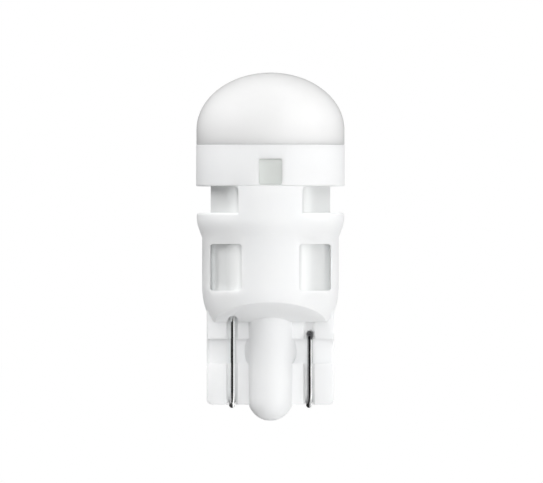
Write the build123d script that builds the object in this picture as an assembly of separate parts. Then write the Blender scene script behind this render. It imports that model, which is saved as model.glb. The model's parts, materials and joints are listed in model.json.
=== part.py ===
from build123d import *
import math
import os

# A wedge base LED bulb, upright, in millimetres.
# The origin is on the bulb's axis, in the shoulder plane where the flat wedge leaves the barrel.
# +Z points to the dome, and the front face of the wedge looks along -Y.
# The bulb is the same after half a turn about its axis.

# Wedge of the cap
wedge_width = 9.5
wedge_thickness = 2.1
wedge_length = 6.18
wedge_root = 1.3
wedge_edge_radius = 0.12
wedge_corner_radius = 0.4

# Cross recess in both faces of the wedge
recess_drop = 1.27
recess_height = 1.85
recess_depth = 0.55
web_edge_radius = 0.3

# Round tube down the middle of the wedge, with a ball where the recess crosses it
tube_radius = 1.68
tube_half_flat = 0.6
tube_length = 7.38
tube_root = 1.0
ball_rise = 0.32

# Contact wires, one on each side of the tube
wire_radius = 0.2
wire_inset = 1.875
wire_lean = 4.5
wire_seat_gap = 0.01
wire_overhang = 0.26
wire_end_rise = 1.65
tuck_drop = 0.91
tuck_bend_radius = 0.28
tuck_end = 0.3
channel_depth = 0.25
channel_side_gap = 0.09
channel_flare = 0.16
wire_hole_gap = 0.05
mouth_gap = 0.2
mouth_height = 0.05

# Barrel, with a rounded belly and two sloped facets underneath
barrel_overhang = 0.35
belly_top = 2.6
belly_radius = 5.15
foot_edge_radius = 0.25
facet_start = 1.5
facet_angle = 22.8
floor_height = 1.95

# Large windows of the barrel
window_sill = 0.38
window_height = 3.47
window_inner_edge = 2.146
window_side_wall = 0.614
window_corner_radius = 0.22

# Flange above the barrel, with a cone and a round that lead out to it
lintel_height = 2.33
flange_step = 0.4
flange_band = 0.373
flare_angle = 20
flare_round = 2.15
flange_edge_radius = 0.2

# Side notches between the flange and the upper ring, with a bridge left at the front and at the back
notch_height = 1.98
bridge_half_width = 2.38
notch_corner_radius = 0.37

# Upper ring
ring_step = 0.05
ring_height = 3.08
ring_edge_radius = 0.12
ring_wall = 0.55

# Small windows of the ring, where the dome's tabs snap in
tab_window_half_width = 0.865
tab_window_rise = 0.1
tab_window_height = 1.92
tab_window_corner_radius = 0.15

# Dome, its skirt and its snap tabs
dome_inset = 0.03
dome_band_height = 1.13
dome_rise = 4.27
dome_wall = 0.8
skirt_gap = 0.05
skirt_wall = 0.4
skirt_end_gap = 0.06
tab_gap = 0.02
tab_inset = 0.2
tab_foot = 0.07
tab_lip = 0.35

# Heat sink, an eight-sided cup with its mouth down on the barrel's floor, in a cavity of its own shape
core_gap = 0.05
core_side_cover = 0.65
core_front_cover = 1.1
core_corner_cover = 0.31
core_slant_angle = 57
core_corner_radius = 1.3
core_neck_gap = 0.05
core_wall = 0.7
core_drop = 1.19
core_plate = 0.8
core_edge = 0.2

# Boards
pad_thickness = 0.15
pad_margin = 0.3
led_board_margin = 0.3
led_board_thickness = 0.8
driver_board_thickness = 0.8
driver_board_side_gap = 0.18
driver_board_top_gap = 0.8
groove_depth = 0.35
groove_gap = 0.05

# Light sources
led_count = 4
led_side = 1.6
led_thickness = 0.7
led_gap = 0.1

# Link pins, their bushes and the solder joints
pin_radius = 0.25
pin_half_pitch = 1.1
pin_overlap = 0.8
pin_stand_out = 0.4
bush_wall = 0.3
bush_gap = 0.05
bush_flange_width = 0.25
bush_flange_height = 0.3
board_hole_gap = 0.05
pad_hole_gap = 0.35
solder_foot = 0.25
solder_top = 0.1
pin_solder_height = 0.3
wire_solder_foot = 0.3
wire_solder_top = 0.12

# Parts on the driver board: width, thickness off the board, height
rectifier_size = (2.6, 1.2, 2.4)
surge_diode_size = (1.6, 1.1, 2.6)
driver_chip_size = (2.9, 1.1, 1.6)
resistor_size = (0.8, 0.45, 1.6)
capacitor_size = (1.25, 0.9, 2.0)
row_gap = 0.3
side_gap = 0.3

# Places that follow from the sizes above
wire_x = wedge_width / 2 - wire_inset
channel_floor = wedge_thickness / 2 - channel_depth
wire_offset = channel_floor + wire_seat_gap + wire_radius
wire_front_x = wire_offset * math.sin(math.radians(wire_lean)) - wire_x
wire_bend_height = -(wedge_length + wire_overhang - wire_offset - wire_radius)
channel_width = 2 * (wire_radius + channel_side_gap)
channel_mouth_width = channel_width + 2 * channel_flare
wire_hole_radius = wire_radius + wire_hole_gap
mouth_radius = wire_radius + mouth_gap
wire_end_height = floor_height + wire_end_rise
web_half_thickness = wedge_thickness / 2 - recess_depth
ball_radius = tube_radius + ball_rise
ball_height = -(recess_drop + recess_height / 2)
barrel_radius = wedge_width / 2 + barrel_overhang
window_bottom = floor_height + window_sill
window_top = window_bottom + window_height
window_outer_edge = barrel_radius - window_side_wall
flange_radius = barrel_radius + flange_step
flange_top = window_top + lintel_height
ring_bottom = flange_top + notch_height
ring_top = ring_bottom + ring_height
ring_radius = flange_radius + ring_step
ring_bore_radius = ring_radius - ring_wall
dome_radius = ring_radius - dome_inset
band_top = ring_top + dome_band_height
skirt_radius = ring_bore_radius - skirt_gap
skirt_bore_radius = skirt_radius - skirt_wall
core_half_width = barrel_radius - core_side_cover
core_front = barrel_radius - core_front_cover
core_slant = math.radians(core_slant_angle)
core_round_centre_y = core_front - core_corner_radius
core_round_centre_reach = barrel_radius - core_corner_cover - core_corner_radius
core_round_centre_x = math.sqrt(core_round_centre_reach**2 - core_round_centre_y**2)
core_front_half = core_round_centre_x + core_corner_radius * math.tan(core_slant / 2)
core_side_half = core_front - (core_half_width - core_front_half) * math.tan(core_slant)
core_neck_radius = skirt_bore_radius - core_neck_gap
core_hollow_half_width = core_half_width - core_wall
core_top_height = ring_top - core_drop
core_plate_bottom = core_top_height - core_plate
pad_bottom = core_top_height
led_board_bottom = pad_bottom + pad_thickness
led_board_top = led_board_bottom + led_board_thickness
led_board_radius = core_half_width - led_board_margin
driver_board_bottom = floor_height - groove_depth
driver_board_top = core_plate_bottom - driver_board_top_gap
driver_board_face = driver_board_thickness / 2
driver_board_half_width = core_hollow_half_width - driver_board_side_gap

# Places of the pins, their bushes and the light sources, and how far a cutter runs past what it cuts
pin_offset = driver_board_face + pin_radius
bush_radius = pin_radius + bush_gap + bush_wall
led_ring_radius = pin_half_pitch + pin_radius + solder_foot + led_gap + led_side / 2
clear = 1.0


def half_section(*edges):
    """A solid turned about the bulb's axis from a closed half section in the plane Y = 0."""
    return Part() + Solid.revolve(Face(Wire(edges)), 360, Axis.Z)


def on_axis(radius, height):
    """A point of a half section, from its distance to the axis and its height."""
    return Vector(radius, 0, height)


def round_arc(centre, radius, start_angle, end_angle):
    """An arc of a half section, with its angles in degrees from the outward direction."""
    angles = (start_angle, (start_angle + end_angle) / 2, end_angle)
    points = []
    for angle in angles:
        turn = math.radians(angle)
        points.append(centre + on_axis(radius * math.cos(turn), radius * math.sin(turn)))
    return ThreePointArc(*points)


def ring_block(inner_radius, outer_radius, bottom, top):
    """A plain upright ring."""
    height = top - bottom
    middle = Pos(0, 0, (bottom + top) / 2)
    return middle * (Cylinder(outer_radius, height) - Cylinder(inner_radius, height + clear))


def upright_rod(radius, bottom, top):
    """A round rod along Z on the axis."""
    return Pos(0, 0, (bottom + top) / 2) * Cylinder(radius, top - bottom)


def upright_block(outline, bottom, top):
    """A block along Z from an outline in X and Y."""
    return Pos(0, 0, bottom) * extrude(outline, amount=top - bottom, dir=(0, 0, 1))


def cut_through(outline):
    """A cutter along Y, right through the bulb, from an outline in X and Z."""
    return extrude(Plane.XZ * outline, amount=ring_radius + clear, both=True)


def both_sides(shape):
    """A shape and its copy after half a turn about the bulb's axis."""
    return shape + Rot(0, 0, 180) * shape


def wire_side(shape):
    """Sets a shape that is drawn for a wire at X = 0 in the leaning plane of the left wire."""
    return Pos(-wire_x, 0, 0) * Rot(0, 0, wire_lean) * shape


def barrel_blank():
    """The barrel and the flange, solid, with the rounded belly below and the flare above."""
    belly_centre = on_axis(barrel_radius - belly_radius, belly_top)
    belly_turn = math.degrees(math.asin(belly_top / belly_radius))
    belly = round_arc(belly_centre, belly_radius, -belly_turn, 0)
    foot = belly @ 0
    slope = math.radians(flare_angle)
    round_step = flare_round * (1 - math.cos(slope))
    cone_height = (flange_step - round_step) / math.tan(slope)
    flare_top = flange_top - flange_band
    flare_start = flare_top - flare_round * math.sin(slope) - cone_height
    flare_centre = on_axis(flange_radius - flare_round, flare_top)
    flare = round_arc(flare_centre, flare_round, -flare_angle, 0)
    blank = half_section(
        Line(on_axis(0, 0), foot),
        belly,
        Line(belly @ 1, on_axis(barrel_radius, flare_start)),
        Line(on_axis(barrel_radius, flare_start), flare @ 0),
        flare,
        Line(flare @ 1, on_axis(flange_radius, flange_top)),
        Line(on_axis(flange_radius, flange_top), on_axis(0, flange_top)),
        Line(on_axis(0, flange_top), on_axis(0, 0)),
    )
    circles = blank.edges().filter_by(GeomType.CIRCLE)
    rim = circles.group_by(Axis.Z)[-1]
    blank = fillet(rim, flange_edge_radius)
    foot_edge = blank.edges().filter_by(GeomType.CIRCLE).group_by(Axis.Z)[0]
    return fillet(foot_edge, foot_edge_radius)


def facet_cutter():
    """What the two sloped facets under the barrel cut away."""
    reach = barrel_radius + clear
    rise = (reach - facet_start) * math.tan(math.radians(facet_angle))
    corners = [
        (0, -facet_start, 0),
        (0, -reach, rise),
        (0, -reach, -clear),
        (0, -facet_start, -clear),
    ]
    face = Face(Wire.make_polygon([Vector(*corner) for corner in corners], close=True))
    front = extrude(face, amount=reach, dir=(1, 0, 0), both=True)
    return both_sides(front)


def bridges():
    """The front and back bridges from inside the flange up to the ring, with rounded upper corners."""
    lap = flange_edge_radius * 2
    blank = half_section(
        Line(on_axis(core_front, flange_top - lap), on_axis(flange_radius, flange_top - lap)),
        Line(on_axis(flange_radius, flange_top - lap), on_axis(flange_radius, flange_top)),
        Line(on_axis(flange_radius, flange_top), on_axis(ring_radius, ring_bottom)),
        Line(on_axis(ring_radius, ring_bottom), on_axis(core_front, ring_bottom)),
        Line(on_axis(core_front, ring_bottom), on_axis(core_front, flange_top - lap)),
    )
    half_side = ring_radius + clear
    outline = RectangleRounded(2 * half_side, 2 * half_side, notch_corner_radius)
    notch = cut_through(Pos(bridge_half_width + half_side, ring_bottom - half_side) * outline)
    return blank - both_sides(notch)


def upper_ring():
    """The ring that holds the dome."""
    ring = ring_block(ring_bore_radius, ring_radius, ring_bottom, ring_top)
    lower_edges = ring.edges().filter_by(GeomType.CIRCLE).group_by(Axis.Z)[0]
    outer_edge = lower_edges.sort_by(SortBy.RADIUS)[-1:]
    return fillet(outer_edge, ring_edge_radius)


def wedge_slab(width, thickness, edge_radius, bottom, top):
    """A flat block of the wedge with rounded upright edges."""
    return upright_block(RectangleRounded(width, thickness, edge_radius), bottom, top)


def wedge():
    """The flat wedge, thinner where the cross recess runs, with rounded lower corners."""
    recess_top = -recess_drop
    recess_bottom = recess_top - recess_height
    web_thickness = 2 * web_half_thickness
    upper = wedge_slab(wedge_width, wedge_thickness, wedge_edge_radius, recess_top, wedge_root)
    web = wedge_slab(wedge_width, web_thickness, web_edge_radius, recess_bottom, recess_top)
    lower = wedge_slab(wedge_width, wedge_thickness, wedge_edge_radius, -wedge_length, recess_bottom)
    outline_height = wedge_length + wedge_corner_radius + clear
    outline = RectangleRounded(wedge_width, outline_height, wedge_corner_radius)
    lower = lower & cut_through(Pos(0, outline_height / 2 - wedge_length) * outline)
    return upper + web + lower


def centre_tube():
    """The round-ended tube down the middle, deeper than it is wide by its flat sides, with its ball."""
    tip_centre = tube_radius - tube_length
    tip = round_arc(on_axis(0, tip_centre), tube_radius, -90, 0)
    edges = [
        tip,
        Line(on_axis(tube_radius, tip_centre), on_axis(tube_radius, tube_root)),
        Line(on_axis(tube_radius, tube_root), on_axis(0, tube_root)),
        Line(on_axis(0, tube_root), on_axis(0, -tube_length)),
    ]
    quarter = Face(Wire(edges))
    half_round = Pos(0, tube_half_flat, 0) * Solid.revolve(quarter, 180, Axis.Z)
    side = extrude(quarter, amount=tube_half_flat, dir=(0, 1, 0), both=True)
    flat_part = both_sides(side)
    ball = Pos(0, 0, ball_height) * Sphere(ball_radius)
    return flat_part + both_sides(Part() + half_round) + ball


def channel_cutter():
    """The channel of one wire: down one face, round the wedge's lower edge and up the other face."""
    bottom = -(wedge_length + clear)
    outside = Pos(0, 0, bottom / 2) * Box(channel_width, wedge_thickness + 2 * clear, -bottom)
    inside = Pos(0, 0, (wire_bend_height + clear) / 2) * Box(
        channel_width, 2 * channel_floor, clear - wire_bend_height
    )
    saddle = Pos(0, 0, wire_bend_height) * Rot(0, 90, 0) * Cylinder(channel_floor, channel_width)
    return Pos(-wire_x, 0, 0) * (outside - inside - saddle + both_sides(channel_flank_cutter(bottom)))


def channel_flank_cutter(bottom):
    """The flared sides of a channel on the front face, wider at the face than at the floor."""
    face = wedge_thickness / 2
    corners = [
        (-channel_width / 2, -channel_floor),
        (channel_width / 2, -channel_floor),
        (channel_mouth_width / 2, -face),
        (channel_mouth_width / 2, -face - clear),
        (-channel_mouth_width / 2, -face - clear),
        (-channel_mouth_width / 2, -face),
    ]
    outline = Face(Wire.make_polygon([Vector(*corner) for corner in corners], close=True))
    return upright_block(outline, bottom, 0)


def wire_hole_cutter():
    """The wire's upright hole in the barrel's floor and the round mouth that opens it to the facet."""
    hole = Pos(0, -wire_offset, 0) * upright_rod(wire_hole_radius, 0, floor_height + clear)
    reach = ring_radius - channel_floor
    middle = Pos(wire_front_x, -channel_floor - reach / 2, mouth_height)
    mouth = middle * Rot(90, 0, 0) * Cylinder(mouth_radius, reach)
    return wire_side(hole) + mouth


def tuck_hole_cutter():
    """The blind hole in the back face that takes the wire's lower end."""
    depth = wedge_thickness / 2 + clear - tuck_end + wire_hole_gap
    middle = tuck_end - wire_hole_gap + depth / 2
    return wire_side(Pos(0, middle, -tuck_drop) * Rot(90, 0, 0) * Cylinder(wire_hole_radius, depth))


def window_cutter():
    """The barrel's large windows on one side, front and back."""
    width = window_outer_edge - window_inner_edge
    centre_x = (window_outer_edge + window_inner_edge) / 2
    centre_z = (window_bottom + window_top) / 2
    outline = RectangleRounded(width, window_height, window_corner_radius)
    return cut_through(Pos(centre_x, centre_z) * outline)


def tab_window_cutter():
    """The ring's small windows, front and back."""
    centre_z = ring_bottom + tab_window_rise + tab_window_height / 2
    outline = RectangleRounded(2 * tab_window_half_width, tab_window_height, tab_window_corner_radius)
    return cut_through(Pos(0, centre_z) * outline)


def groove_cutter():
    """The groove in the barrel's floor that the driver board stands in."""
    width = 2 * (driver_board_half_width + groove_gap)
    thickness = driver_board_thickness + 2 * groove_gap
    return Pos(0, 0, floor_height - groove_depth / 2) * Box(width, thickness, groove_depth)


def core_outline():
    """The core's section: flat front, back and sides, slanted faces between, and round front corners."""
    quarter = [(core_front_half, core_front), (core_half_width, core_side_half)]
    right = quarter + [(x, -y) for x, y in reversed(quarter)]
    left = [(-x, -y) for x, y in right]
    outline = Polygon(*right, *left, align=None)
    corners = outline.vertices().filter_by(lambda corner: abs(corner.Y) > core_side_half + core_gap)
    return fillet(corners, core_corner_radius)


def core_cavity():
    """The room for the core, from the barrel's floor up to the ring."""
    return upright_block(offset(core_outline(), amount=core_gap), floor_height, ring_bottom)


def housing():
    """The white moulding in one piece."""
    body = barrel_blank() - facet_cutter() + wedge() + centre_tube() + bridges() + upper_ring()
    body = body - core_cavity() - groove_cutter()
    body = body - both_sides(window_cutter()) - tab_window_cutter()
    wire_cuts = channel_cutter() + wire_hole_cutter() + tuck_hole_cutter()
    return body - both_sides(wire_cuts)


def dome_arc(radius, rise):
    """A quarter ellipse from the top of the dome's straight band up to the axis."""
    start = on_axis(radius, band_top)
    corner = on_axis(radius, band_top + rise)
    top = on_axis(0, band_top + rise)
    return Bezier(start, corner, top, weights=[1, math.sqrt(0.5), 1])


def dome_shell():
    """The dome's shell with its rim on the ring and its skirt inside it."""
    inner_radius = dome_radius - dome_wall
    inner_rise = dome_rise - dome_wall
    skirt_bottom = ring_bottom + skirt_end_gap
    inner_step = ring_top + skirt_wall
    return half_section(
        Line(on_axis(skirt_bore_radius, skirt_bottom), on_axis(skirt_radius, skirt_bottom)),
        Line(on_axis(skirt_radius, skirt_bottom), on_axis(skirt_radius, ring_top)),
        Line(on_axis(skirt_radius, ring_top), on_axis(dome_radius, ring_top)),
        Line(on_axis(dome_radius, ring_top), on_axis(dome_radius, band_top)),
        dome_arc(dome_radius, dome_rise),
        Line(on_axis(0, band_top + dome_rise), on_axis(0, band_top + inner_rise)),
        dome_arc(inner_radius, inner_rise),
        Line(on_axis(inner_radius, band_top), on_axis(inner_radius, inner_step)),
        Line(on_axis(inner_radius, inner_step), on_axis(skirt_bore_radius, ring_top)),
        Line(on_axis(skirt_bore_radius, ring_top), on_axis(skirt_bore_radius, skirt_bottom)),
    )


def snap_tab():
    """One snap tab on the front of the skirt, thicker at the top and with a ramp below."""
    bottom = ring_bottom + tab_window_rise + tab_gap
    top = bottom + tab_window_height - 2 * tab_gap
    root = skirt_radius - skirt_wall / 2
    foot = skirt_radius + tab_foot
    face = ring_radius - tab_inset
    corners = [
        (0, -root, bottom),
        (0, -foot, bottom),
        (0, -face, top - tab_lip),
        (0, -face, top),
        (0, -root, top),
    ]
    half_width = tab_window_half_width - tab_gap
    side = Face(Wire.make_polygon([Vector(*corner) for corner in corners], close=True))
    front = RectangleRounded(2 * half_width, top - bottom, tab_window_corner_radius - tab_gap)
    block = extrude(side, amount=half_width, dir=(1, 0, 0), both=True)
    return block & cut_through(Pos(0, (bottom + top) / 2) * front)


def diffuser_dome():
    """The opal dome with its skirt and its two tabs."""
    return dome_shell() + both_sides(snap_tab())


def pin_places():
    """The two link pins' places, left and right, in front of the driver board."""
    return {"left": (-pin_half_pitch, -pin_offset), "right": (pin_half_pitch, -pin_offset)}


def pin_holes(radius, bottom, top):
    """Both pins' holes at one radius."""
    holes = Part()
    for x, y in pin_places().values():
        holes = holes + Pos(x, y, 0) * upright_rod(radius, bottom, top)
    return holes


def heat_sink():
    """The core: an aluminium cup, mouth down, with its corners turned off inside the skirt."""
    outline = core_outline()
    inside = offset(outline, amount=-core_wall, kind=Kind.INTERSECTION)
    cup = upright_block(outline, floor_height, core_top_height)
    cup = chamfer(cup.edges().group_by(Axis.Z)[-1], core_edge)
    cup = cup - ring_block(core_neck_radius, ring_radius, ring_bottom, core_top_height + clear)
    hollow = upright_block(inside, floor_height, core_plate_bottom)
    return cup - hollow - pin_holes(bush_radius + bush_gap, core_plate_bottom, core_top_height)


def thermal_pad():
    """The thin pad between the heat sink and the LED board."""
    pad = upright_rod(core_front - pad_margin, pad_bottom, led_board_bottom)
    return pad - pin_holes(pin_radius + pad_hole_gap, pad_bottom, led_board_bottom)


def led_board():
    """The round metal-core board."""
    board = upright_rod(led_board_radius, led_board_bottom, led_board_top)
    return board - pin_holes(pin_radius + board_hole_gap, led_board_bottom, led_board_top)


def led_package(number):
    """One square light source on the LED board."""
    turn = Rot(0, 0, 360 / led_count * number)
    centre = Pos(led_ring_radius, 0, led_board_top + led_thickness / 2)
    return turn * centre * Box(led_side, led_side, led_thickness)


def driver_board():
    """The upright board inside the heat sink, standing in the floor's groove."""
    height = driver_board_top - driver_board_bottom
    middle = (driver_board_top + driver_board_bottom) / 2
    return Pos(0, 0, middle) * Box(2 * driver_board_half_width, driver_board_thickness, height)


def board_part(size, x, bottom, side):
    """A part on the driver board's front (side -1) or back (side 1)."""
    width, thickness, height = size
    y = side * (driver_board_face + thickness / 2)
    return Pos(x, y, bottom + height / 2) * Box(width, thickness, height)


def board_parts():
    """The parts on the driver board, stacked upwards from the barrel's floor."""
    low_row = floor_height + row_gap
    high_row = low_row + max(surge_diode_size[2], capacitor_size[2]) + row_gap
    capacitor_x = surge_diode_size[0] / 2 + side_gap + capacitor_size[0] / 2
    front_resistor_x = rectifier_size[0] / 2 + side_gap + resistor_size[0] / 2
    back_resistor_x = driver_chip_size[0] / 2 + side_gap + resistor_size[0] / 2
    return {
        "surge_diode": board_part(surge_diode_size, 0, low_row, -1),
        "capacitor_front": board_part(capacitor_size, capacitor_x, low_row, -1),
        "capacitor_back": board_part(capacitor_size, -capacitor_x, low_row, 1),
        "bridge_rectifier": board_part(rectifier_size, 0, high_row, -1),
        "driver_chip": board_part(driver_chip_size, 0, high_row, 1),
        "resistor_front_left": board_part(resistor_size, -front_resistor_x, high_row, -1),
        "resistor_front_right": board_part(resistor_size, front_resistor_x, high_row, -1),
        "resistor_back": board_part(resistor_size, back_resistor_x, high_row, 1),
    }


def link_pin(place):
    """One pin from the driver board's top edge up through the heat sink and the LED board."""
    bottom = driver_board_top - pin_overlap
    top = led_board_top + pin_stand_out
    return Pos(*place, 0) * upright_rod(pin_radius, bottom, top)


def pin_bush(place):
    """One insulating bush in the heat sink's top plate, flanged below it."""
    flange_bottom = core_plate_bottom - bush_flange_height
    sleeve = upright_rod(bush_radius, core_plate_bottom, core_top_height)
    flange = upright_rod(bush_radius + bush_flange_width, flange_bottom, core_plate_bottom)
    hole = upright_rod(pin_radius + bush_gap, flange_bottom - clear, core_top_height + clear)
    return Pos(*place, 0) * (sleeve + flange - hole)


def pin_solder(place):
    """The solder round one pin on the LED board."""
    foot = pin_radius + solder_foot
    top = pin_radius + solder_top
    cone = Pos(0, 0, led_board_top + pin_solder_height / 2) * Cone(foot, top, pin_solder_height)
    pin = upright_rod(pin_radius, led_board_top - clear, led_board_top + clear)
    return Pos(*place, 0) * (cone - pin)


def contact_wire():
    """The left wire: out of the barrel's floor, down the front, round the edge, up the back and in."""
    top = Vector(0, -wire_offset, wire_end_height)
    front_low = Vector(0, -wire_offset, wire_bend_height)
    lowest = Vector(0, 0, wire_bend_height - wire_offset)
    back_low = Vector(0, wire_offset, wire_bend_height)
    tuck_start = Vector(0, wire_offset, -tuck_drop - tuck_bend_radius)
    tuck_centre = Vector(0, wire_offset - tuck_bend_radius, -tuck_drop - tuck_bend_radius)
    diagonal = tuck_bend_radius * math.sqrt(0.5)
    tuck_middle = tuck_centre + Vector(0, diagonal, diagonal)
    tuck_turned = tuck_centre + Vector(0, 0, tuck_bend_radius)
    tuck_tip = Vector(0, tuck_end, -tuck_drop)
    path = Wire(
        [
            Line(top, front_low),
            ThreePointArc(front_low, lowest, back_low),
            Line(back_low, tuck_start),
            ThreePointArc(tuck_start, tuck_middle, tuck_turned),
            Line(tuck_turned, tuck_tip),
        ]
    )
    section = Plane(origin=top, z_dir=(0, 0, -1)) * Circle(wire_radius)
    return wire_side(sweep(section, path=path))


def wire_solder():
    """The left wire's solder on the front of the driver board."""
    reach = wire_offset + wire_radius / 2 - driver_board_face
    middle_y = -(driver_board_face + reach / 2)
    foot = wire_radius + wire_solder_foot
    height = wire_end_height - foot
    cone = Rot(90, 0, 0) * Cone(foot, wire_radius + wire_solder_top, reach)
    wire = wire_side(Pos(0, -wire_offset, 0) * upright_rod(wire_radius, 0, wire_end_height + clear))
    return Pos(wire_front_x, middle_y, height) * cone - wire


def sub_parts():
    """Every piece of the bulb by its name."""
    parts = {
        "housing": housing(),
        "diffuser_dome": diffuser_dome(),
        "heat_sink": heat_sink(),
        "thermal_pad": thermal_pad(),
        "led_board": led_board(),
        "driver_board": driver_board(),
        "contact_wire_left": contact_wire(),
        "contact_wire_right": Rot(0, 0, 180) * contact_wire(),
        "wire_solder_left": wire_solder(),
        "wire_solder_right": Rot(0, 0, 180) * wire_solder(),
    }
    for number in range(led_count):
        parts[f"led_package_{number + 1}"] = led_package(number)
    for side, place in pin_places().items():
        parts[f"link_pin_{side}"] = link_pin(place)
        parts[f"pin_bush_{side}"] = pin_bush(place)
        parts[f"pin_solder_{side}"] = pin_solder(place)
    parts.update(board_parts())
    return parts


os.makedirs("parts", exist_ok=True)
for name, shape in sub_parts().items():
    export_step(shape, f"parts/{name}.step")
    print(name, "volume", round(shape.volume, 3))
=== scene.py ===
# %% [markdown]
# A wedge base LED bulb, dressed for its picture.
# The solids of the bulb come in first, and they stay where they are from here on.
# Everything is in metres, the bulb's axis is Z, and the picture is taken looking along +Y.

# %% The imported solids
import json
import math

import bpy
import bmesh
from mathutils import Matrix, Vector


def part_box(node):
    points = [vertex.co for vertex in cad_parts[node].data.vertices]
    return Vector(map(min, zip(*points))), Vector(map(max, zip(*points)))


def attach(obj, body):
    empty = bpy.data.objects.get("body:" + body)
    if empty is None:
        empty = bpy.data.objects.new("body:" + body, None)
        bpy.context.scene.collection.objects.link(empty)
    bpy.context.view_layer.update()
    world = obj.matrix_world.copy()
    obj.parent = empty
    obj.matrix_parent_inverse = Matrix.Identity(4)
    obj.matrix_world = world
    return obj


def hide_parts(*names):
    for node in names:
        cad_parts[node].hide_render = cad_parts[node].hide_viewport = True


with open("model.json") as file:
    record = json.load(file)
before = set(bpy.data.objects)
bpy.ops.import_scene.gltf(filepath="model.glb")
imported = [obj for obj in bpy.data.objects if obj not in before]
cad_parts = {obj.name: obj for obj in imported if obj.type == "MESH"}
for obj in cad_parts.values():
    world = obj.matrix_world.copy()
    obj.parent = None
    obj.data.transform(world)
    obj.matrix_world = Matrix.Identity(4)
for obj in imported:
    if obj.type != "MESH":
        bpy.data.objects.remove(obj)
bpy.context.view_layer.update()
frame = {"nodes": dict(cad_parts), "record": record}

mm = 0.001
nodes = frame["nodes"]


def in_scene(name, data):
    """Makes an object from a mesh, a lamp or a camera, and puts it in the scene."""
    made = bpy.data.objects.new(name, data)
    bpy.context.scene.collection.objects.link(made)
    return made


# %% [markdown]
# The camera comes first, because every later choice is judged through it.
# The photograph is taken square on from far away, so a long lens at the bulb's middle height
# keeps the ring's edges level. One pixel of the photograph is a known length, which fixes how
# far away the camera stands.

# %% Camera
photo_width = 543
photo_height = 483
pixel = 0.07463 * mm
axis_column = 270.45
shoulder_row = 321.7
lens = 800.0

camera_data = bpy.data.cameras.new("picture_camera")
camera = in_scene("picture_camera", camera_data)
bpy.context.scene.camera = camera
camera_data.lens = lens
distance = photo_width * pixel * lens / camera_data.sensor_width
camera_x = (photo_width / 2 - axis_column) * pixel
camera_z = (shoulder_row - photo_height / 2) * pixel
camera.location = (camera_x, -distance, camera_z)
camera.rotation_euler = (math.radians(90), 0, 0)
camera_data.clip_start = 0.01
camera_data.clip_end = 10.0
bpy.context.scene.view_settings.view_transform = "Standard"
print("camera stands", round(distance / mm, 1), "mm away, at height", round(camera_z / mm, 2), "mm")

# %% [markdown]
# A material is a small graph of nodes. Written as Python sums it reads like the recipe that it
# is. A Signal is one output socket, and maths on it adds Math nodes. A Finish is one material,
# and its node method adds any other node: first its settings, then the values or links of its
# sockets. The colour sockets of a Mix node share their names with others, so they go by number.


# %% Signals and finishes
mix_amount = 0
mix_first = 6
mix_second = 7
mix_colour = 2
finishes = {}


class Signal:
    """One output socket of a material. Maths on it adds Math nodes."""

    def __init__(self, finish, socket):
        self.finish = finish
        self.socket = socket

    def __add__(self, other):
        return self.finish.maths("ADD", self, other)

    def __rsub__(self, other):
        return self.finish.maths("SUBTRACT", other, self)

    def __mul__(self, other):
        return self.finish.maths("MULTIPLY", self, other)

    __radd__ = __add__
    __rmul__ = __mul__


class Finish:
    """One material with its Principled shader."""

    def __init__(self, name, constants):
        self.material = bpy.data.materials.new(name)
        self.material.use_nodes = True
        self.tree = self.material.node_tree
        self.shader = self.tree.nodes["Principled BSDF"]
        for socket_name, value in constants.items():
            self.feed(self.shader.inputs[socket_name], value)

    def feed(self, socket, value):
        """Gives a socket its value, or links it."""
        if isinstance(value, Signal):
            self.tree.links.new(value.socket, socket)
        elif isinstance(value, tuple) and socket.type == "RGBA":
            socket.default_value = (*value, 1.0)
        else:
            socket.default_value = value

    def node(self, kind, settings, sockets, output=0):
        """Adds a node. The settings may hold a colour ramp's stops."""
        added = self.tree.nodes.new(kind)
        for name, value in settings.items():
            if name == "stops":
                ramp = added.color_ramp.elements
                while len(ramp) < len(value):
                    ramp.new(0.5)
                for element, (position, tone) in zip(ramp, value):
                    element.position = position
                    element.color = (*tone, 1.0)
            else:
                setattr(added, name, value)
        for name, value in sockets.items():
            self.feed(added.inputs[name], value)
        return Signal(self, added.outputs[output])

    def maths(self, operation, first, second):
        """One Math node."""
        return self.node("ShaderNodeMath", {"operation": operation}, {0: first, 1: second})

    def place(self):
        """Object coordinates, in metres."""
        return self.node("ShaderNodeTexCoord", {}, {}, "Object")

    def along(self, axis):
        """One object coordinate, in metres."""
        return self.node("ShaderNodeSeparateXYZ", {}, {0: self.place()}, axis)

    def rise(self, value, start, end):
        """0 where the value is below start, 1 where it is above end."""
        ranges = {"Value": value, "From Min": start, "From Max": end}
        return self.node("ShaderNodeMapRange", {}, ranges)

    def noise(self, size, detail=2.0, roughness=0.5, stretch=(1.0, 1.0, 1.0)):
        """Noise whose spots are about as large as size."""
        scale = tuple(part / size for part in stretch)
        mapped = self.node("ShaderNodeMapping", {}, {"Vector": self.place(), "Scale": scale})
        sockets = {"Vector": mapped, "Scale": 1.0, "Detail": detail, "Roughness": roughness}
        return self.node("ShaderNodeTexNoise", {}, sockets)

    def blend(self, amount, first, second):
        """A colour between two others."""
        settings = {"data_type": "RGBA", "clamp_factor": True}
        sockets = {mix_amount: amount, mix_first: first, mix_second: second}
        return self.node("ShaderNodeMix", settings, sockets, mix_colour)

    def paint(self, **signals):
        """Links what varies over the surface to the shader."""
        for name, value in signals.items():
            self.feed(self.shader.inputs[name.replace("_", " ")], value)

    def bump(self, height, depth, strength):
        """Feeds the shader's normal from a height, with depth in metres."""
        sockets = {"Height": height, "Distance": depth, "Strength": strength}
        self.paint(Normal=self.node("ShaderNodeBump", {}, sockets))


def keep(slot, material):
    """Keeps a finish under the name of its slot."""
    finishes[slot] = material
    print("finish", slot, "has", len(material.node_tree.nodes), "nodes")


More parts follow.
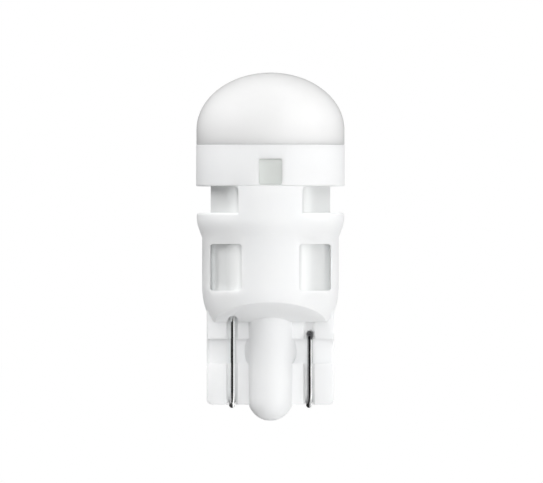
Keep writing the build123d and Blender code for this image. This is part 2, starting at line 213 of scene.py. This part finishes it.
print("finishes are made from", Finish.__name__, "and", Signal.__name__)

# %% [markdown]
# The background of the picture is pure white. More light would wash the bulb out, so the floor
# and the world are white only to the eye of the camera and to reflections, at a strength of 1.
# For lighting the world is a dark grey room and the floor is plain paint. The floor lies under
# the bulb, below the picture, and takes its shadow. What it throws back lights the sloped facets
# and the centre tube from below, and in the photograph their left sides are darker. So the left
# half of the floor throws back less.

# %% Floor
floor_height = -45 * mm
floor_reach = 4.0
dark_floor_end = -35 * mm
white_floor_start = 5 * mm
dark_paint = (0.25, 0.25, 0.25)
light_paint = (0.88, 0.88, 0.88)
seen_paint = (0.30, 0.30, 0.30)
seen_glow = (0.985, 0.985, 0.985)
no_glow = (0.0, 0.0, 0.0)
white_rays = ("Is Camera Ray", "Is Glossy Ray", "Is Transmission Ray")


def seen_directly(finish):
    """1 for the camera, for reflections and for what is seen through glass, else 0."""
    camera_ray, glossy_ray, clear_ray = [
        finish.node("ShaderNodeLightPath", {}, {}, ray) for ray in white_rays
    ]
    return finish.node("ShaderNodeClamp", {}, {"Value": camera_ray + glossy_ray + clear_ray})


def floor_finish():
    """Matt paint that looks white and still shows a soft shadow.

    For the light alone it is dark on the left.
    """
    constants = {"Roughness": 1.0, "Specular IOR Level": 0.0, "Emission Strength": 1.0}
    finish = Finish("floor_paint", constants)
    seen = seen_directly(finish)
    light_side = finish.rise(finish.along("X"), dark_floor_end, white_floor_start)
    paint = finish.blend(light_side, dark_paint, light_paint)
    finish.paint(Base_Color=finish.blend(seen, paint, seen_paint))
    finish.paint(Emission_Color=finish.blend(seen, no_glow, seen_glow))
    return finish.material


sheet = bmesh.new()
bmesh.ops.create_grid(sheet, x_segments=1, y_segments=1, size=floor_reach)
bmesh.ops.translate(sheet, vec=(0, 0, floor_height), verts=sheet.verts)
floor_mesh = bpy.data.meshes.new("floor")
sheet.to_mesh(floor_mesh)
sheet.free()
floor = in_scene("floor", floor_mesh)
floor_mesh.materials.append(floor_finish())
print("floor at", round(floor_height / mm, 1), "mm, reaching", floor_reach, "m each way")

# %% [markdown]
# The world is white for the same three kinds of rays, and the dark grey room for all others.

# %% World
room_tone = 0.05

world = bpy.data.worlds.new("white_room")
world.use_nodes = True
bpy.context.scene.world = world
world_tree = world.node_tree
backdrop = world_tree.nodes["Background"]
backdrop.inputs["Strength"].default_value = 1.0
path = world_tree.nodes.new("ShaderNodeLightPath")
direct = world_tree.nodes.new("ShaderNodeMath")
direct.operation = "MAXIMUM"
seen = world_tree.nodes.new("ShaderNodeMath")
seen.operation = "MAXIMUM"
tones = world_tree.nodes.new("ShaderNodeMix")
tones.data_type = "RGBA"
tones.inputs[mix_first].default_value = (room_tone, room_tone, room_tone, 1.0)
tones.inputs[mix_second].default_value = (1.0, 1.0, 1.0, 1.0)
camera_ray, glossy_ray, clear_ray = [path.outputs[ray] for ray in white_rays]
world_tree.links.new(camera_ray, direct.inputs[0])
world_tree.links.new(glossy_ray, direct.inputs[1])
world_tree.links.new(direct.outputs[0], seen.inputs[0])
world_tree.links.new(clear_ray, seen.inputs[1])
world_tree.links.new(seen.outputs[0], tones.inputs[mix_amount])
world_tree.links.new(tones.outputs[mix_colour], backdrop.inputs["Color"])
print("room tone", room_tone)

# %% [markdown]
# The photograph is lit softly from all round. Its main light comes from the front, half from
# above and half from the bulb's own height, because even the core behind the windows is bright.
# A lamp low at the right lights the right limbs. None stands at the left, which leaves the left
# limbs greyer. Two lamps behind the bulb lift the dome and the floor. White plastic passes light
# on again and again, so it may bounce more often than usual. Reflections don't see the lamps,
# because in the photograph they are too large and soft to show as spots on the dome.
# Each row gives a lamp's name, its degrees to the right of the camera, its degrees up, its size
# in metres and its power in watts.


# %% Lamps
bulb_middle = Vector((0, 0, camera_z))
lamp_distance = 0.36
lamps = [
    ("key_lamp", -3, 40, 0.26, 0.46),
    ("front_lamp", -5, 8, 0.20, 0.46),
    ("top_lamp", -5, 70, 0.20, 0.28),
    ("right_lamp", 70, -5, 0.18, 0.46),
    ("back_left_lamp", -104, 34, 0.20, 0.80),
    ("back_right_lamp", 116, 34, 0.20, 0.62),
]


def soft_lamp(name, side, rise, size, power):
    """A square lamp that looks at the bulb and that reflections don't see."""
    data = bpy.data.lights.new(name, "AREA")
    data.shape = "SQUARE"
    data.size = size
    data.energy = power
    lamp = in_scene(name, data)
    turn = math.radians(side)
    tilt = math.radians(rise)
    level = math.cos(tilt)
    toward = Vector((math.sin(turn) * level, -math.cos(turn) * level, math.sin(tilt)))
    lamp.location = bulb_middle + lamp_distance * toward
    lamp.rotation_euler = (-toward).to_track_quat("-Z", "Y").to_euler()
    lamp.visible_glossy = False


for row in lamps:
    soft_lamp(*row)
bpy.context.scene.cycles.max_bounces = 16
bpy.context.scene.cycles.diffuse_bounces = 12
print(len(lamps), "soft lamps, light bounces", bpy.context.scene.cycles.diffuse_bounces, "times")

# %% [markdown]
# Bright metal looks dark where it mirrors something dark. In the photograph the left half of
# each contact wire is dark and the right half bright, which is what a polished round wire shows
# when a black flag stands to the left of the camera. The flag is a curved sheet with a foot on
# the floor and a roof over the bulb, spun from one bent edge about the bulb, and only
# reflections see it. Two more flags stand behind the bulb, because a smooth dome mirrors most
# where the eye grazes it, and they draw the thin grey line round the dome's limb. The one at the
# right has its foot further away, so that the wires' turns at the bottom mirror white floor on
# their right side.
# Each row gives a flag's name, the degrees right of the camera where it starts and ends, and the
# radius in metres where its foot and its roof begin.


# %% Dark flags
flag_reach = 0.30
flag_top = 0.25
flag_lift = 0.0005
flag_steps = 16
velvet_black = {"Base Color": (0.05, 0.05, 0.05), "Roughness": 1.0, "Specular IOR Level": 0.0}
flags = [
    ("front_flag", -100, 18, 0.006),
    ("back_right_flag", 84, 175, 0.12),
    ("back_left_flag", 175, 258, 0.006),
]


def dark_flag(name, start, end, foot):
    """A curved black sheet that only reflections see."""
    sheet = bmesh.new()
    angle = math.radians(start)
    outward = Vector((math.sin(angle), -math.cos(angle), 0))
    low = floor_height + flag_lift
    corners = [
        outward * foot + Vector((0, 0, low)),
        outward * flag_reach + Vector((0, 0, low)),
        outward * flag_reach + Vector((0, 0, flag_top)),
        outward * foot + Vector((0, 0, flag_top)),
    ]
    verts = [sheet.verts.new(corner) for corner in corners]
    edges = [sheet.edges.new(pair) for pair in zip(verts, verts[1:])]
    bmesh.ops.spin(
        sheet, geom=verts + edges, cent=(0, 0, 0), axis=(0, 0, 1),
        angle=math.radians(end - start), steps=flag_steps
    )
    mesh = bpy.data.meshes.new(name)
    sheet.to_mesh(mesh)
    sheet.free()
    flag = in_scene(name, mesh)
    flag.visible_camera = False
    flag.visible_diffuse = False
    flag.visible_shadow = False
    flag.visible_transmission = False
    mesh.materials.append(Finish("black_velvet", velvet_black).material)


for row in flags:
    dark_flag(*row)
print(len(flags), "dark flags,", round(flag_reach / mm), "mm away")

# %% [markdown]
# The housing is moulded in white plastic. Such a surface is not polished: the mould was spark
# eroded, so it has a fine even grain, and the plastic is a little cloudy.


# %% White plastic
def white_plastic():
    """Cloudy white plastic with a fine even grain."""
    constants = {
        "IOR": 1.49,
        "Subsurface Weight": 0.7,
        "Subsurface Radius": (1.0, 1.0, 1.0),
        "Subsurface Scale": 0.6 * mm,
    }
    finish = Finish("white_plastic", constants)
    cloud = finish.noise(size=2.4 * mm, detail=3.0)
    grain = finish.noise(size=0.09 * mm, detail=2.0, roughness=0.6)
    finish.paint(Base_Color=finish.blend(cloud, (0.885, 0.895, 0.905), (0.925, 0.93, 0.93)))
    finish.paint(Roughness=0.52 + 0.12 * cloud + 0.06 * grain)
    finish.bump(grain, depth=0.004 * mm, strength=0.35)
    return finish.material


keep("white_plastic", white_plastic())

# %% [markdown]
# The dome is opal: light goes in, scatters and comes out nearby. Its outside is smoother than
# the housing.


# %% Opal plastic
def opal_plastic():
    """Smooth plastic that scatters light inside."""
    constants = {
        "IOR": 1.5,
        "Subsurface Weight": 0.9,
        "Subsurface Radius": (1.0, 1.0, 1.0),
        "Subsurface Scale": 1.0 * mm,
        "Coat Weight": 0.5,
        "Coat Roughness": 0.08,
    }
    finish = Finish("opal_plastic", constants)
    haze = finish.noise(size=3.0 * mm, detail=2.0)
    grain = finish.noise(size=0.12 * mm, detail=1.0)
    finish.paint(Base_Color=finish.blend(haze, (0.905, 0.905, 0.905), (0.915, 0.915, 0.91)))
    finish.paint(Roughness=0.50 + 0.08 * haze)
    finish.bump(grain, depth=0.002 * mm, strength=0.2)
    return finish.material


keep("opal_plastic", opal_plastic())

# %% [markdown]
# The core is painted as an aluminium cup with a white coat, whose turning marks show through as
# fine rings. Its slanted faces are painted darker than its flat front and back, with the step
# past the round corners. That darker tone is painted shade for the shade that falls on the
# slanted faces deep behind the windows, and not a second coat. Whether that is the coat or only
# the light can't be told.


# %% Coated core with painted shade
slanted_end = 3.65 * mm
front_start = 4.0 * mm


def core_coat_and_painted_shade():
    """White coat on turned metal, with painted shade making the slanted faces darker."""
    finish = Finish("core_coat_and_painted_shade", {"IOR": 1.45})
    mist = finish.noise(size=1.2 * mm, detail=3.0)
    rings = finish.noise(size=0.12 * mm, detail=1.0, stretch=(0.02, 0.02, 1.0))
    # The slanted tone is painted shade: darker than the front for the shade behind the windows.
    slanted = finish.blend(mist, (0.745, 0.755, 0.755), (0.775, 0.785, 0.78))
    depth = finish.maths("ABSOLUTE", finish.along("Y"), 0.0)
    front = finish.rise(depth, slanted_end, front_start)
    finish.paint(Base_Color=finish.blend(front, slanted, (0.875, 0.885, 0.88)))
    finish.paint(Roughness=0.36 + 0.12 * mist)
    finish.bump(rings, depth=0.003 * mm, strength=0.3)
    return finish.material


keep("core_metal", core_coat_and_painted_shade())

# %% [markdown]
# The contact wires are plated and drawn through a die, which leaves long scratches along them.
# Each wire's tail is painted dark on the side next to the tube, as a painted reflection of the
# dark channel beside it, and darkest at its cut end, which turns into the wedge, as a painted
# shadow of its hole. That may be a shadow or a reflection, and it is painted here as tarnish.
# The tails are the legs where X and Y have unlike signs.


# %% Plated wire
tail_place = 2.95 * mm
tail_top = -1.25 * mm
painted_reflection_waves = 0.06 * mm
painted_reflection_full = 0.07 * mm
painted_reflection_end = 0.10 * mm
cut_end_fade = 0.15 * mm


def plated_wire():
    """Bright drawn metal; its tail carries a painted dark reflection and a painted shadow."""
    finish = Finish("plated_wire", {"Metallic": 1.0})
    drawn = finish.noise(size=0.08 * mm, detail=2.0, stretch=(1.0, 1.0, 0.05))
    stain = finish.noise(size=0.7 * mm, detail=3.0)
    across = finish.along("X")
    deep = finish.along("Y")
    high = finish.along("Z")
    wavy = finish.maths("ABSOLUTE", across, 0.0) + painted_reflection_waves * stain
    tube_side = 1.0 - finish.rise(wavy, tail_place + painted_reflection_full, tail_place + painted_reflection_end)
    cut_end = finish.rise(high, tail_top - cut_end_fade, tail_top)
    tail = finish.maths("LESS_THAN", across * deep, 0.0)
    bright = finish.blend(stain, (0.87, 0.87, 0.88), (0.95, 0.95, 0.94))
    # The tube side of each tail is painted dark, as a painted reflection of the dark channel beside
    # it.
    bright_with_painted_reflection = finish.blend(tail * tube_side, bright, (0.30, 0.30, 0.305))
    # The cut end is painted near black, as painted shadow where the wire turns into its hole.
    finish.paint(Base_Color=finish.blend(tail * cut_end, bright_with_painted_reflection, (0.10, 0.10, 0.105)))
    finish.paint(Roughness=0.08 + 0.08 * drawn)
    finish.bump(drawn, depth=0.003 * mm, strength=0.3)
    return finish.material


keep("contact_metal", plated_wire())

# %% [markdown]
# The snap tabs are thin tongues of the same opal plastic. Their colour is painted grey: painted
# shade for the dark inside of the ring behind them, which leaves them greyer than the dome, which
# has light inside it.


# %% Thin opal plastic, painted grey for shade
def thin_opal():
    """The opal plastic, with the shade of the dark ring behind it painted into its colour."""
    finish = Finish("thin_opal", {"IOR": 1.5})
    haze = finish.noise(size=1.0 * mm, detail=2.0)
    # This grey is painted shade: the same opal plastic, darkened for the dark ring behind it.
    finish.paint(Base_Color=finish.blend(haze, (0.66, 0.685, 0.66), (0.70, 0.72, 0.70)))
    finish.paint(Roughness=0.34 + 0.08 * haze)
    return finish.material


keep("thin_opal", thin_opal())

# %% [markdown]
# Inside the bulb sit the boards and their parts. Nobody sees them in the picture, but whoever
# takes the part from the library does. A solder mask is a coat over copper, so tracks show as
# slightly raised, lighter lines.


# %% Boards
boards = {
    "white_board": ((0.88, 0.88, 0.86), (0.93, 0.93, 0.91)),
    "green_board": ((0.03, 0.22, 0.08), (0.08, 0.36, 0.14)),
}
track_stops = [(0.62, (0.0, 0.0, 0.0)), (0.70, (1.0, 1.0, 1.0))]
wave_height = 1


def solder_mask(name, mask, track):
    """A coated circuit board with tracks under the coat."""
    finish = Finish(name, {"Coat Weight": 0.3, "Coat Roughness": 0.2})
    settings = {"wave_type": "BANDS", "bands_direction": "DIAGONAL"}
    sockets = {"Vector": finish.place(), "Scale": 350.0, "Distortion": 6.0, "Detail": 1.0}
    wave = finish.node("ShaderNodeTexWave", settings, sockets, wave_height)
    tracks = finish.node("ShaderNodeValToRGB", {"stops": track_stops}, {"Fac": wave})
    finish.paint(Base_Color=finish.blend(tracks, mask, track))
    finish.paint(Roughness=0.34 + 0.1 * finish.noise(size=0.5 * mm))
    finish.bump(tracks, depth=0.03 * mm, strength=0.6)
    return finish.material


for slot, row in boards.items():
    keep(slot, solder_mask(slot, *row))

# %% [markdown]
# The small parts are moulded, fired or plated. One recipe serves all the matt ones and another
# all the metal ones. Each row gives a dark and a light tone, and then the size of the grain or
# the least roughness.


# %% Small parts
matt_parts = {
    "thermal_pad": ((0.48, 0.51, 0.56), (0.60, 0.62, 0.66), 0.2 * mm),
    "black_resin": ((0.03, 0.03, 0.03), (0.07, 0.07, 0.07), 0.1 * mm),
    "ceramic": ((0.52, 0.42, 0.30), (0.66, 0.56, 0.44), 0.15 * mm),
    "bush_plastic": ((0.80, 0.78, 0.70), (0.88, 0.86, 0.79), 0.3 * mm),
}
metal_parts = {
    "solder": ((0.62, 0.62, 0.64), (0.78, 0.78, 0.80), 0.25),
    "pin_metal": ((0.70, 0.55, 0.25), (0.80, 0.66, 0.34), 0.22),
}


def moulded_resin(name, dark, light, grain_size):
    """Matt moulded or fired material with a fine grain."""
    finish = Finish(name, {})
    grain = finish.noise(grain_size, detail=4.0, roughness=0.6)
    finish.paint(Base_Color=finish.blend(grain, dark, light))
    finish.paint(Roughness=0.55 + 0.2 * grain)
    finish.bump(grain, depth=0.01 * mm, strength=0.4)
    return finish.material


def soft_metal(name, dark, light, roughness):
    """Solder or plated metal with faint stains."""
    finish = Finish(name, {"Metallic": 1.0})
    stain = finish.noise(size=0.3 * mm, detail=3.0)
    finish.paint(Base_Color=finish.blend(stain, dark, light))
    finish.paint(Roughness=roughness + 0.15 * stain)
    finish.bump(stain, depth=0.01 * mm, strength=0.3)
    return finish.material


def phosphor():
    """Yellow phosphor gel."""
    finish = Finish("phosphor", {"Coat Weight": 0.4, "Coat Roughness": 0.15})
    grain = finish.noise(size=0.08 * mm, detail=4.0)
    finish.paint(Base_Color=finish.blend(grain, (0.88, 0.66, 0.10), (0.97, 0.83, 0.28)))
    finish.paint(Roughness=0.3 + 0.2 * grain)
    finish.bump(grain, depth=0.01 * mm, strength=0.4)
    return finish.material


for slot, row in matt_parts.items():
    keep(slot, moulded_resin(slot, *row))
for slot, row in metal_parts.items():
    keep(slot, soft_metal(slot, *row))
keep("led", phosphor())

# %% [markdown]
# Each solid names the slot of its finish. The pieces whose shape is already right keep their
# mesh and only get their finish.

# %% Dress the solids
node_slots = {part["node"]: part["material_slot"] for part in frame["record"]["subparts"]}
for name, node in nodes.items():
    for place in node.material_slots:
        place.material = finishes[node_slots[name]]
print("dressed", len(nodes), "solids from", len(finishes), "finishes")

# %% [markdown]
# New pieces take the place of the solids that the eye meets first. Each is a mesh at the origin,
# rides on the bulb's one body, gets its finish and hides the solid that it stands for.


# %% A finished piece
merge_reach = 0.0005 * mm


def finished_piece(shape, name, finish, stands_for, smooth_angle):
    """Makes an object from a bmesh, with smooth shading that breaks at sharp edges."""
    for edge in shape.edges:
        edge.smooth = edge.is_manifold and edge.calc_face_angle() < math.radians(smooth_angle)
    for face in shape.faces:
        face.smooth = True
    mesh = bpy.data.meshes.new(name)
    shape.to_mesh(mesh)
    shape.free()
    mesh.materials.append(finish)
    piece = in_scene(name, mesh)
    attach(piece, "root")
    if stands_for:
        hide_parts(*stands_for)
    print(name, "faces", len(mesh.polygons))


print("points closer than", round(merge_reach / mm, 4), "mm are merged in every piece")

# %% [markdown]
# The housing keeps the form of its solid. A moulding has no knife edges, though: the mould's own
# tool was round, so every edge catches a thin line of light. A copy of the solid's mesh is
# merged, its flat areas are dissolved into single faces, and the edges that are left sharp are
# bevelled by a few hundredths of a millimetre.

# %% Housing
edge_round = 0.035 * mm
sharp_angle = math.radians(32)
flat_angle = math.radians(0.5)

housing = bmesh.new()
housing.from_mesh(nodes["housing"].data)
bmesh.ops.remove_doubles(housing, verts=housing.verts, dist=merge_reach)
bmesh.ops.dissolve_limit(
    housing, angle_limit=flat_angle, verts=housing.verts, edges=housing.edges,
    use_dissolve_boundaries=False
)
sharp_edges = [e for e in housing.edges if e.is_manifold and e.calc_face_angle() > sharp_angle]
print("housing has", len(sharp_edges), "sharp edges of", len(housing.edges))
bmesh.ops.bevel(
    housing, geom=sharp_edges, offset=edge_round, offset_type="OFFSET", segments=2, profile=0.5,
    affect="EDGES", clamp_overlap=True, material=-1
)
finished_piece(
    housing, "housing_moulding", finishes["white_plastic"], ["housing"],
    smooth_angle=30
)

# %% [markdown]
# The dome's outer sizes are read from the boxes of the solids, and the ring's top is where its
# rim sits.

# %% Dome sizes
dome_low, dome_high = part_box("diffuser_dome")
ring_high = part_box("housing")[1]
dome_radius = dome_high.x
dome_top = dome_high.z
skirt_bottom = dome_low.z
ring_top = ring_high.z
ring_radius = ring_high.x
band_height = 1.13 * mm
dome_wall = 0.8 * mm
skirt_inset = 0.60 * mm
skirt_radius = ring_radius - skirt_inset
skirt_wall = 0.4 * mm
rim_round = 0.06 * mm
rim_cut = 0.3 * rim_round
rim_lift = 0.005 * mm
spin_steps = 128
outer_steps = 40
inner_steps = 24
sliver_area = 1e-14
print("dome radius", round(dome_radius / mm, 2), "mm")
print("dome from", round(skirt_bottom / mm, 2), "to", round(dome_top / mm, 2), "mm")

# %% [markdown]
# The dome is turned: its half section is a few straight runs and the quarter of an ellipse. One
# strip of edges is spun all the way round the axis. The rim gets a small bevel, because a
# moulded rim is round, and the thin dark line where it meets the ring comes from that round.


# %% Dome
def quarter_ellipse(radius, base, top, count):
    """Points from the side up to the axis, as (distance to the axis, height)."""
    turns = [math.pi / 2 * step / count for step in range(count + 1)]
    return [(radius * math.cos(turn), base + (top - base) * math.sin(turn)) for turn in turns]


def spun(outline, steps):
    """A closed outline of (distance to the axis, height), spun about Z."""
    shape = bmesh.new()
    ring = [shape.verts.new((across, 0, height)) for across, height in outline]
    edges = [shape.edges.new(pair) for pair in zip(ring, ring[1:] + ring[:1])]
    bmesh.ops.spin(
        shape, geom=ring + edges, cent=(0, 0, 0), axis=(0, 0, 1), angle=2 * math.pi,
        steps=steps, use_merge=True
    )
    bmesh.ops.remove_doubles(shape, verts=shape.verts, dist=merge_reach)
    slivers = [face for face in shape.faces if face.calc_area() < sliver_area]
    bmesh.ops.delete(shape, geom=slivers, context="FACES")
    bmesh.ops.recalc_face_normals(shape, faces=shape.faces)
    return shape


band_top = ring_top + band_height
rim_bottom = ring_top + rim_lift
outside = quarter_ellipse(dome_radius, band_top, dome_top, outer_steps)
inside = quarter_ellipse(dome_radius - dome_wall, band_top, dome_top - dome_wall, inner_steps)
rim = [
    (skirt_radius, rim_bottom),
    (dome_radius - rim_round, rim_bottom),
    (dome_radius - rim_cut, rim_bottom + rim_cut),
    (dome_radius, rim_bottom + rim_round),
]
skirt = [
    (skirt_radius - skirt_wall, ring_top),
    (skirt_radius - skirt_wall, skirt_bottom),
    (skirt_radius, skirt_bottom),
]
finished_piece(
    spun(rim + outside + inside[::-1] + skirt, spin_steps), "opal_dome",
    finishes["opal_plastic"], ["diffuser_dome"], smooth_angle=40
)

# %% [markdown]
# Each snap tab is a small block with round corners. Its face leans out towards its top, so that
# it slides into the ring and then catches. A scaled cube has its upright corners rounded and is
# cut level with the lip, and the face below that cut is pushed back to make the ramp.

# %% Snap tabs
tab_half_width = 0.857 * mm
tab_bottom = 10.23 * mm
tab_top = 12.11 * mm
tab_corner = 0.13 * mm
tab_lip = 0.35 * mm
tab_edge = 0.012 * mm
tab_root = skirt_radius - skirt_wall / 2
tab_face = ring_radius - 0.2 * mm
tab_foot = skirt_radius + 0.07 * mm
tab_sharp = math.radians(60)
straight_share = 0.99


def runs_along(edge, axis):
    """Whether an edge runs along one axis."""
    run = edge.verts[1].co - edge.verts[0].co
    return abs(run[axis]) > straight_share * run.length


def rounded(shape, edges, offset, segments):
    """Rounds some edges of a tab."""
    bmesh.ops.bevel(
        shape, geom=edges, offset=offset, segments=segments, profile=0.5, affect="EDGES",
        material=-1
    )


def snap_tab(name, turn):
    """One tab at the front of the ring, turned to its place."""
    tab = bmesh.new()
    size = (2 * tab_half_width, tab_face - tab_root, tab_top - tab_bottom)
    middle = -(tab_face + tab_root) / 2
    bmesh.ops.create_cube(tab, size=1.0)
    bmesh.ops.scale(tab, vec=size, verts=tab.verts)
    bmesh.ops.translate(tab, vec=(0, middle, (tab_top + tab_bottom) / 2), verts=tab.verts)
    rounded(tab, [edge for edge in tab.edges if runs_along(edge, 1)], tab_corner, 6)
    lip = tab_top - tab_lip
    whole = tab.verts[:] + tab.edges[:] + tab.faces[:]
    bmesh.ops.bisect_plane(tab, geom=whole, plane_co=(0, 0, lip), plane_no=(0, 0, 1))
    for vert in tab.verts:
        if vert.co.y < middle and vert.co.z < lip:
            vert.co.y += (tab_face - tab_foot) * (lip - vert.co.z) / (lip - tab_bottom)
    sharp = [edge for edge in tab.edges if edge.calc_face_angle() > tab_sharp]
    rounded(tab, [edge for edge in sharp if edge.verts[0].co.y < middle], tab_edge, 2)
    spin = Matrix.Rotation(turn, 3, "Z")
    bmesh.ops.rotate(tab, cent=(0, 0, 0), matrix=spin, verts=tab.verts)
    finished_piece(tab, name, finishes["thin_opal"], [], smooth_angle=35)


snap_tab("front_snap_tab", 0.0)
snap_tab("back_snap_tab", math.pi)

# %% [markdown]
# The wires' thickness, lean and place are sizes of the bulb, and their ends are read from the
# boxes of the solids.

# %% Wire sizes
wire_radius = 0.2 * mm
wire_sides = 32
wire_lean = math.radians(4.5)
wire_place = 2.875 * mm
wire_offset = 1.01 * mm
wire_low, wire_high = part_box("contact_wire_left")
bend_height = wire_low.z + wire_offset + wire_radius
bend_steps = 24
tuck_height = -0.91 * mm
tuck_radius = 0.28 * mm
tuck_end = 0.3 * mm
tuck_steps = 12
print("wire from", round(wire_high.z / mm, 2), "down to", round(wire_low.z / mm, 2), "mm")

# %% [markdown]
# A contact wire is one round wire with two bends. The shape follows the bending: a circle is
# extruded down the front, spun half a turn under the wedge's edge, extruded up the back, spun a
# quarter turn and pushed into its hole. At last the whole wire leans by a few degrees, because
# it leaves the front and enters the back at different places.


# %% Wires
def wire_step(shape, section, move):
    """Extrudes the wire's open end by a move and returns its new end."""
    made = bmesh.ops.extrude_edge_only(shape, edges=section)["geom"]
    verts = [item for item in made if isinstance(item, bmesh.types.BMVert)]
    bmesh.ops.translate(shape, vec=move, verts=verts)
    edges = [item for item in made if isinstance(item, bmesh.types.BMEdge)]
    return [edge for edge in edges if all(vert in verts for vert in edge.verts)]


def wire_turn(shape, section, centre, angle, steps):
    """Spins the wire's open end about an axis along X and returns its new end."""
    verts = list({vert for edge in section for vert in edge.verts})
    made = bmesh.ops.spin(
        shape, geom=verts + section, cent=centre, axis=(1, 0, 0), angle=angle, steps=steps,
        use_merge=False
    )["geom_last"]
    return [item for item in made if isinstance(item, bmesh.types.BMEdge)]


def contact_wire(name, stands_for, turn):
    """One wire, bent at the axis, then leant, moved to its place and turned."""
    wire = bmesh.new()
    top = wire_high.z
    bmesh.ops.create_circle(wire, cap_ends=False, radius=wire_radius, segments=wire_sides)
    bmesh.ops.translate(wire, vec=(0, -wire_offset, top), verts=wire.verts)
    end = wire_step(wire, wire.edges[:], (0, 0, bend_height - top))
    end = wire_turn(wire, end, (0, 0, bend_height), math.pi, bend_steps)
    end = wire_step(wire, end, (0, 0, tuck_height - tuck_radius - bend_height))
    tuck_centre = (0, wire_offset - tuck_radius, tuck_height - tuck_radius)
    end = wire_turn(wire, end, tuck_centre, math.pi / 2, tuck_steps)
    wire_step(wire, end, (0, tuck_end - wire_offset + tuck_radius, 0))
    bmesh.ops.remove_doubles(wire, verts=wire.verts, dist=merge_reach)
    open_ends = [edge for edge in wire.edges if edge.is_boundary]
    bmesh.ops.holes_fill(wire, edges=open_ends, sides=wire_sides)
    bmesh.ops.recalc_face_normals(wire, faces=wire.faces)
    lean = Matrix.Rotation(wire_lean, 3, "Z")
    bmesh.ops.rotate(wire, cent=(0, 0, 0), matrix=lean, verts=wire.verts)
    bmesh.ops.translate(wire, vec=(-wire_place, 0, 0), verts=wire.verts)
    spin = Matrix.Rotation(turn, 3, "Z")
    bmesh.ops.rotate(wire, cent=(0, 0, 0), matrix=spin, verts=wire.verts)
    finished_piece(
        wire, name, finishes["contact_metal"], [stands_for], smooth_angle=50
    )


contact_wire("drawn_wire_left", "contact_wire_left", 0.0)
contact_wire("drawn_wire_right", "contact_wire_right", math.pi)
